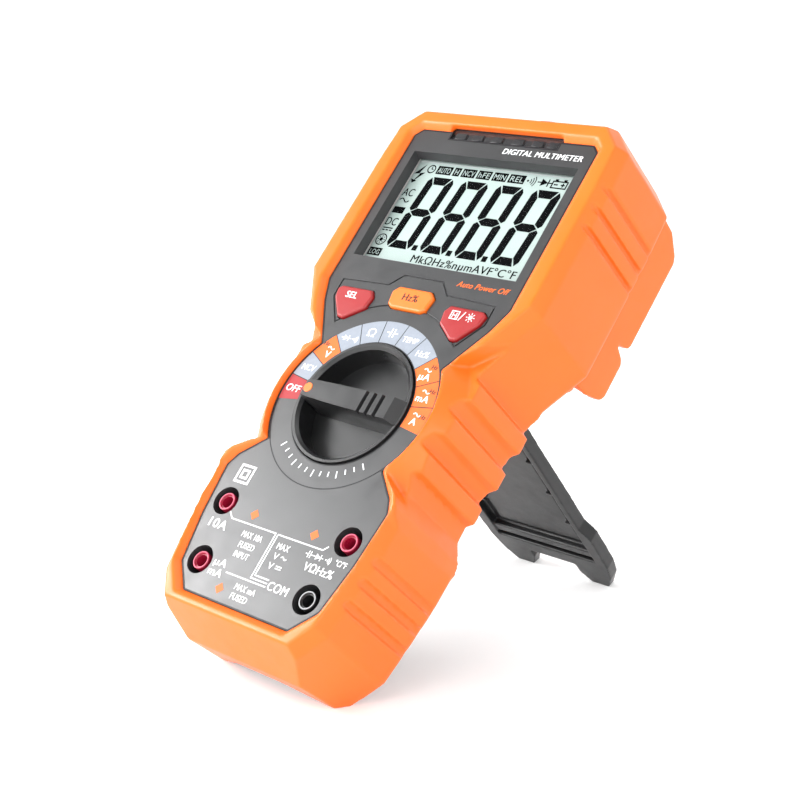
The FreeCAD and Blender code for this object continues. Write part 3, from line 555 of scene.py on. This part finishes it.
def make_display():
    """Display marks: figures, points, sign, unit row and status row, and a silver line on the lens as
    painted highlight of the window's edge.
    """
    marks = Print("display_marks", INKS["display"], "lcd_face", LCD_FACE + 0.01)
    for place_number in range(4):
        x = DIGIT_X + place_number * DIGIT_PITCH
        marks.add(digit(x, DIGIT_Y))
        if place_number < 3:
            marks.add([rect(x + DIGIT_WIDTH + 0.55, DIGIT_Y + 0.1, x + DIGIT_WIDTH + 2.55, DIGIT_Y + 2.2)])
    marks.add([rect(-33.6, 72.3, -28.7, 74.9)])
    marks.write("AC", -31.2, 81.1, 3.2, 4.8, bold=0.1)
    marks.add(wave(-31.2, 77.7, 4.2, 0.45))
    marks.write("DC", -31.2, 68.9, 3.2, 4.8, bold=0.1)
    marks.add(direct(-31.2, 65.7, 4.2, 0.45))
    marks.add(band(-31.2, 61.4, 1.9, 2.3, 0, 360) + sun(-31.2, 61.4, 2.8))
    marks.add(bolt(-31.4, 89.2, 7.6))
    marks.add(band(-27.3, 91.3, 1.3, 1.75, 0, 360) + path([(-27.3, 91.3), (-27.3, 92.4)], 0.35))
    marks.add(path([(-27.3, 91.3), (-26.5, 91.3)], 0.35))
    marks.add(sound(15.3, 91.2, 2.5) + diode(20.6, 91.2, 2.9) + battery(26.4, 91.2, 3.6))
    marks.write("MkΩHz%nµmAVF°C°F", 7.2, 56.2, 3.0, 43.0, bold=0.12)
    boxes = [("AUTO", -24.8, -18.3), ("H", -17.5, -14.6), ("NCV", -13.8, -8.0), ("hFE", -7.2, -1.5),
             ("MIN", -0.6, 5.2), ("REL", 6.0, 12.5)]
    marks.add([rect(x0, 89.6, x1, 93.0) for _, x0, x1 in boxes] + [rect(-33.8, 54.9, -28.2, 58.0)])
    marks.finish()
    words = Print("display_words", MATERIALS["lcd_face"], "lcd_face", LCD_FACE + 0.04)
    for text, x0, x1 in boxes:
        words.write(text, (x0 + x1) / 2, 91.3, 2.2, (x1 - x0) * (0.8 if len(text) > 1 else 0.5))
    words.write("LOG", -31.0, 56.45, 1.9, 4.2)
    words.finish()
    # Silver line round the window on the lens: painted highlight along the window's edge
    highlight = Print("lens_edge_highlight", INKS["silver"], "clear_lens", LENS_FACE)
    highlight.add(frame_of(-32.5, 53.2, 32.5, 93.1, 0.2))
    highlight.finish()


# ---------------------------------------------------------------- panel prints

SECTORS = ["red", "grey", "orange", "grey", "grey", "grey", "grey", "grey", "orange", "orange", "orange"]


def sector_middle(index, radius):
    """Middle of a dial sector."""
    turn = math.radians(FIRST_SECTOR - SECTOR_STEP * (index + 0.5))
    return radius * math.cos(turn), radius * math.sin(turn)


def make_dial():
    """Coloured dial ring with its dividing lines."""
    plates = {}
    for colour in ("red", "grey", "orange"):
        plates[colour] = Print("dial_" + colour, INKS[colour], "case_plastic", PANEL_FACE)
    lines = Print("dial_lines", INKS["black"], "case_plastic", PANEL_FACE, thickness=INK * 1.6)
    for index, colour in enumerate(SECTORS):
        start = FIRST_SECTOR - SECTOR_STEP * index
        plates[colour].add(band(0, 0, DIAL_INNER, DIAL_OUTER, start, start - SECTOR_STEP))
        if index:
            c, s = math.cos(math.radians(start)), math.sin(math.radians(start))
            lines.add([bar(DIAL_INNER * c, DIAL_INNER * s, DIAL_OUTER * c, DIAL_OUTER * s, DIVIDER)])
    lines.add(band(0, 0, DIAL_OUTER - 0.15, DIAL_OUTER + 0.2, FIRST_SECTOR - 360, -9))
    lines.add(band(0, 0, DIAL_INNER - 0.3, DIAL_INNER + 0.05, 0, 360))
    for plate in list(plates.values()) + [lines]:
        plate.finish()


def make_legends():
    """White and black lettering of the panel and the dial."""
    white = Print("legend_white", INKS["white"], "case_plastic", PANEL_FACE + INK)
    black = Print("legend_black", INKS["black"], "case_plastic", PANEL_FACE + INK)
    dial_words = [(0, "OFF", 2.6, 6.0), (1, "NCV", 2.2, 5.6), (6, "TEMP", 2.0, 6.2), (7, "Hz%", 2.2, 5.0)]
    for index, text, height, width in dial_words:
        white.write(text, *sector_middle(index, WORD_RADIUS), height, width, shear=0.1, bold=0.12)
    white.write("Ω", *sector_middle(4, SYMBOL_RADIUS), 3.0, 3.2)
    white.add(capacitor(*sector_middle(5, SYMBOL_RADIUS), 3.2))
    x, y = sector_middle(3, SYMBOL_RADIUS)
    white.add(diode(x - 1.5, y, 2.0) + sound(x + 2.2, y, 1.6))
    for index, text, width in ((2, "V", 2.2), (8, "µA", 4.2), (9, "mA", 4.8), (10, "A", 2.3)):
        x, y = sector_middle(index, RANGE_RADIUS)
        white.write(text, x + 0.1, y - 0.9, 2.5, width, bold=0.14)
        white.add(wave(x + 0.2, y + 1.4, 2.8, 0.42))
        hx, hy = sector_middle(index, RATE_RADIUS)
        black.write("Hz", hx - 0.3, hy + 1.1, 1.5, 2.3, shear=0.1, bold=0.12)
    white.write("DIGITAL MULTIMETER", 18.0, 98.3, 2.2, 31.7, shear=0.1, bold=0.14)
    for step in range(-TICKS_EACH_SIDE, TICKS_EACH_SIDE + 1):
        turn = math.radians(270 + step * TICK_STEP)
        c, s = math.cos(turn), math.sin(turn)
        reach = TICK_OUTER if step % 3 else TICK_LONG
        white.add([bar(TICK_INNER * c, TICK_INNER * s, reach * c, reach * s, TICK_WIDTH)])
    jack_legends(white)
    white.finish()
    black.finish()
    orange = Print("legend_orange", INKS["orange"], "case_plastic", PANEL_FACE + INK)
    orange.write("Auto Power Off", 23.6, 47.4, 2.1, 20.5, shear=0.25, bold=0.1)
    orange.add(lozenge(-12.3, -43.4, 3.6) + lozenge(13.5, -43.4, 3.6) + lozenge(-9.6, -68.2, 3.6))
    orange.finish()


def jack_legends(white):
    """Lines and names round the input jacks."""
    white.add(frame_of(-28.3, -35.4, -21.8, -28.9, 0.75) + frame_of(-26.7, -33.8, -23.4, -30.5, 0.75))
    white.add(path([(-22.2, -44.9), (-20.2, -46.7)], RULE) + path([(-20.3, -46.75), (-0.25, -46.75)], RULE))
    white.add(path([(-0.45, -46.6), (-0.45, -62.1)], RULE) + path([(-0.6, -61.9), (6.6, -61.9)], RULE))
    white.add(path([(20.8, -45.3), (19.3, -46.9)], RULE) + path([(19.4, -46.85), (0.35, -46.85)], RULE))
    white.add(path([(0.55, -46.7), (0.55, -60.9)], RULE) + path([(0.4, -60.75), (6.6, -60.75)], RULE))
    white.add(path([(-10.6, -63.0), (6.6, -63.0)], RULE))
    words = [("10A", -24.6, -49.7, 3.2, 7.6), ("µA", -14.7, -60.7, 2.7, 5.2),
             ("mA", -14.7, -64.0, 2.7, 5.8), ("COM", 11.4, -62.1, 2.9, 8.2),
             ("VΩHz%", 21.8, -52.9, 2.7, 11.6),
             ("°C/°F", 28.2, -49.0, 1.9, 4.4), ("MAX 10A", -8.6, -50.0, 2.1, 8.6),
             ("FUSED", -8.6, -53.4, 2.1, 6.6), ("INPUT", -8.6, -56.6, 2.1, 6.2),
             ("MAX", 5.0, -50.0, 2.1, 5.0), ("V", 4.2, -53.2, 2.1, 2.0), ("V", 4.2, -56.4, 2.1, 2.0),
             ("MAX mA", 0.0, -65.8, 2.1, 8.6), ("FUSED", -0.6, -68.9, 2.1, 7.0)]
    for text, x, y, height, width in words:
        white.write(text, x, y, height, width, bold=0.05 * height)
    white.add(capacitor(15.6, -49.3, 2.2) + diode(19.2, -49.3, 2.0) + sound(23.2, -49.3, 1.6))
    white.add(wave(7.4, -53.2, 2.4, 0.38) + direct(7.4, -56.4, 2.4, 0.38))


def make_button_legends():
    """Marks on the three push buttons, each riding on its own button."""
    top = button_level("select_button")
    select = Print("select_legend", INKS["white"], "button_red", top, "select_key")
    select.write("SEL", -23.6, 36.0, 2.5, 4.7, bold=0.2)
    select.finish()
    rate = Print("frequency_legend", INKS["black"], "button_orange", top, "frequency_key")
    rate.write("Hz%", 0.0, 38.8, 2.6, 6.2, bold=0.18)
    rate.finish()
    hold = Print("hold_legend", INKS["white"], "button_red", top, "hold_key")
    hold.add(frame_of(18.4, 34.3, 21.6, 37.4, 0.35) + path([(22.2, 34.2), (23.6, 37.5)], 0.35))
    hold.write("H", 20.0, 35.85, 2.0, 1.6)
    hold.add(sun(26.2, 35.9, 2.9))
    hold.finish()


def button_level(name):
    """Height of a button's top over the panel, in mm."""
    back = PANEL.inverted()
    return max((back @ vertex.co).z for vertex in frame["nodes"][name].data.vertices) / MM


# ---------------------------------------------------------------- jacks and painted gap shadow

# Inner and outer reach round the panel's edge, and depth, of the black sheet that paints the gap's shadow,
# in mm
GAP_SHADOW_INNER, GAP_SHADOW_OUTER, GAP_SHADOW_DEPTH = 0.16, 0.38, 1.15
JACK_NAMES = ("10a", "ma", "volt", "com")
COLLAR = [(3.02, -1.0), (3.02, -0.62), (2.9, -0.46), (2.6, -0.42), (2.42, -0.56), (2.2, -1.0), (1.97, -1.5),
          (1.97, -7.0), (1.99, -7.0), (1.99, -1.02)]


def lathe(name, x, y, profile, material, steps=64):
    """Closed ring turned about a line along the panel's normal, from (radius, z) points."""
    mesh = bmesh.new()
    rows = []
    for step in range(steps):
        c, s = math.cos(math.tau * step / steps), math.sin(math.tau * step / steps)
        rows.append([mesh.verts.new((x + r * c, y + r * s, z)) for r, z in profile])
    for step in range(steps):
        here, after = rows[step], rows[(step + 1) % steps]
        for i in range(len(profile)):
            k = (i + 1) % len(profile)
            mesh.faces.new((here[i], after[i], after[k], here[k]))
    bmesh.ops.recalc_face_normals(mesh, faces=mesh.faces)
    data = bpy.data.meshes.new(name)
    mesh.to_mesh(data)
    mesh.free()
    data.transform(PANEL @ Matrix.Scale(MM, 4))
    data.materials.append(material)
    piece = bpy.data.objects.new(name, data)
    bpy.context.scene.collection.objects.link(piece)
    smooth_by_angle(piece)
    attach(piece, "case")


def make_jack_collars():
    """Moulded collar on each jack post, which hides the brass sleeve's rim, with a pale ring on its lip as
    painted highlight.
    """
    for name in JACK_NAMES:
        slot = "jack_black" if name == "com" else "jack_red"
        x, y = jack_middle(name)
        lathe("jack_collar_" + name, x, y, COLLAR, MATERIALS[slot])
        # Pale ring on the collar's lip, pink on the red jacks and silver on the black one: painted highlight
        # of the lip
        highlight = INKS["silver"] if name == "com" else INKS["pink"]
        profile = [(2.5, -0.47), (2.5, -0.36), (2.85, -0.38), (2.85, -0.5)]
        lathe("jack_lip_highlight_" + name, x, y, profile, highlight)


def panel_outline():
    """Outer edge of the raised panel, read from the front case, in mm in the panel frame."""
    mesh = bmesh.new()
    mesh.from_mesh(frame["nodes"]["front_case"].data)
    mesh.transform(Matrix.Scale(1 / MM, 4) @ PANEL.inverted())
    bmesh.ops.remove_doubles(mesh, verts=mesh.verts, dist=0.005)
    top = {face for face in mesh.faces if all(abs(v.co.z) < 0.01 for v in face.verts)}
    rim = [edge for edge in mesh.edges if sum(face in top for face in edge.link_faces) == 1]
    after = {}
    for edge in rim:
        loop = next(part for part in edge.link_loops if part.face in top)
        after[loop.vert] = loop.link_loop_next.vert
    loops = []
    while after:
        start, here = next(iter(after.items()))
        points = [start.co.xy.copy()]
        del after[start]
        while here in after:
            points.append(here.co.xy.copy())
            here = after.pop(here)
        loops.append(points)
    mesh.free()
    return max(loops, key=lambda points: max(p.y for p in points) - min(p.y for p in points))


def make_panel_gap_shadow():
    """Black sheet in the gap between the panel and the holster's rim: painted shadow of the gap."""
    outline = panel_outline()
    count = len(outline)
    normals = []
    for i in range(count):
        run = (outline[(i + 1) % count] - outline[i]).normalized()
        normals.append(Vector((run.y, -run.x)))
    inner, outer = [], []
    for i, point in enumerate(outline):
        a, b = normals[i - 1], normals[i]
        mitre = (a + b) / (1 + a.dot(b))
        inner.append(point - mitre * GAP_SHADOW_INNER)
        outer.append(point + mitre * GAP_SHADOW_OUTER)
    # Black ink sheet round the panel's edge: painted shadow of the gap
    gap_shadow = Print("panel_gap_shadow", INKS["black"], "case_plastic", -GAP_SHADOW_DEPTH, thickness=GAP_SHADOW_DEPTH + 0.05)
    for i in range(count):
        k = (i + 1) % count
        gap_shadow.add([[inner[i], outer[i], outer[k], inner[k]]])
    gap_shadow.finish()


def jack_middle(name):
    """Place of a jack on the panel, from its mount."""
    mount = next(m for m in frame["record"]["mounts"] if m["name"] == "jack_" + name)
    spot = PANEL.inverted() @ Vector(mount["pos_m"]) / MM
    return spot.x, spot.y


# ---------------------------------------------------------------- stage

def make_floor():
    """Pale floor that curves up into a round backdrop."""
    profile = [(0.0, 0.0), (FLOOR_RADIUS, 0.0)]
    for step in range(1, COVE_STEPS + 1):
        turn = math.pi / 2 * step / COVE_STEPS
        profile.append((FLOOR_RADIUS + COVE_RADIUS * math.sin(turn), COVE_RADIUS * (1 - math.cos(turn))))
    profile.append((FLOOR_RADIUS + COVE_RADIUS, WALL_TOP))
    mesh = bmesh.new()
    for radius, height in profile:
        mesh.verts.new((radius, 0, height))
    mesh.verts.ensure_lookup_table()
    edges = [mesh.edges.new((mesh.verts[i], mesh.verts[i + 1])) for i in range(len(profile) - 1)]
    bmesh.ops.spin(mesh, geom=list(mesh.verts) + edges, cent=(0, 0, 0), axis=(0, 0, 1),
                   angle=math.tau, steps=FLOOR_STEPS, use_merge=True)
    bmesh.ops.remove_doubles(mesh, verts=mesh.verts, dist=1e-5)
    bmesh.ops.recalc_face_normals(mesh, faces=mesh.faces)
    data = bpy.data.meshes.new("floor")
    mesh.to_mesh(data)
    mesh.free()
    mat, tree, shader = new_material("pale_paper")
    fibre = noise(tree, 30.0, 3.0)
    tree.links.new(tinted(tree, fibre, (0.87, 0.87, 0.87), (0.9, 0.9, 0.9)), shader.inputs["Base Color"])
    shader.inputs["Roughness"].default_value = 0.9
    shader.inputs["Emission Color"].default_value = (1, 1, 1, 1)
    shader.inputs["Emission Strength"].default_value = 0.2
    data.materials.append(mat)
    floor = bpy.data.objects.new("floor", data)
    bpy.context.scene.collection.objects.link(floor)
    for polygon in data.polygons:
        polygon.use_smooth = True


def softbox(name, spot, aim, width, height, power):
    """Rectangular studio light turned towards a point."""
    light = bpy.data.lights.new(name, "AREA")
    light.shape = "RECTANGLE"
    light.size, light.size_y = width, height
    light.energy = power
    lamp = bpy.data.objects.new(name, light)
    bpy.context.scene.collection.objects.link(lamp)
    lamp.location = spot
    lamp.rotation_euler = (Vector(aim) - Vector(spot)).to_track_quat("-Z", "Y").to_euler()


def make_lights():
    """Soft light from all round, with one box on the left that glances off the panel."""
    softbox("panel_glow", (-0.85, -0.56, 0.5), (0, -0.05, 0.05), 0.75, 0.4, 15.0)
    softbox("front", (-0.1, -1.3, 0.5), (0, 0, 0.06), 0.8, 0.5, 7.0)
    softbox("fill_right", (1.15, -0.75, 0.7), (0, 0, 0.08), 0.8, 0.8, 6.0)
    softbox("overhead", (0.0, 0.1, 1.7), (0, 0, 0.1), 1.2, 1.2, 9.0)
    world = bpy.data.worlds.new("studio")
    world.use_nodes = True
    world.node_tree.nodes["Background"].inputs["Color"].default_value = (1, 1, 1, 1)
    world.node_tree.nodes["Background"].inputs["Strength"].default_value = 0.3
    bpy.context.scene.world = world
    bpy.context.scene.view_settings.view_transform = "Standard"


def make_camera():
    """Camera to the right of the panel and a little below its normal."""
    spot, aim = place(*CAMERA_PLACE), place(*CAMERA_AIM)
    lens = bpy.data.cameras.new("camera")
    lens.lens = CAMERA_LENS
    lens.sensor_width = 36.0
    lens.clip_start, lens.clip_end = 0.01, 20.0
    camera = bpy.data.objects.new("camera", lens)
    bpy.context.scene.collection.objects.link(camera)
    ahead = (aim - spot).normalized()
    level = ahead.cross(up).normalized()
    roll = math.radians(CAMERA_ROLL)
    side = level * math.cos(roll) + level.cross(ahead) * math.sin(roll)
    turn = Matrix((side, side.cross(ahead), -ahead)).transposed().to_4x4()
    camera.matrix_world = Matrix.Translation(spot) @ turn
    bpy.context.scene.camera = camera


make_camera()
make_floor()
make_lights()
finish_nodes()
make_display()
make_dial()
make_legends()
make_button_legends()
make_jack_collars()
make_panel_gap_shadow()
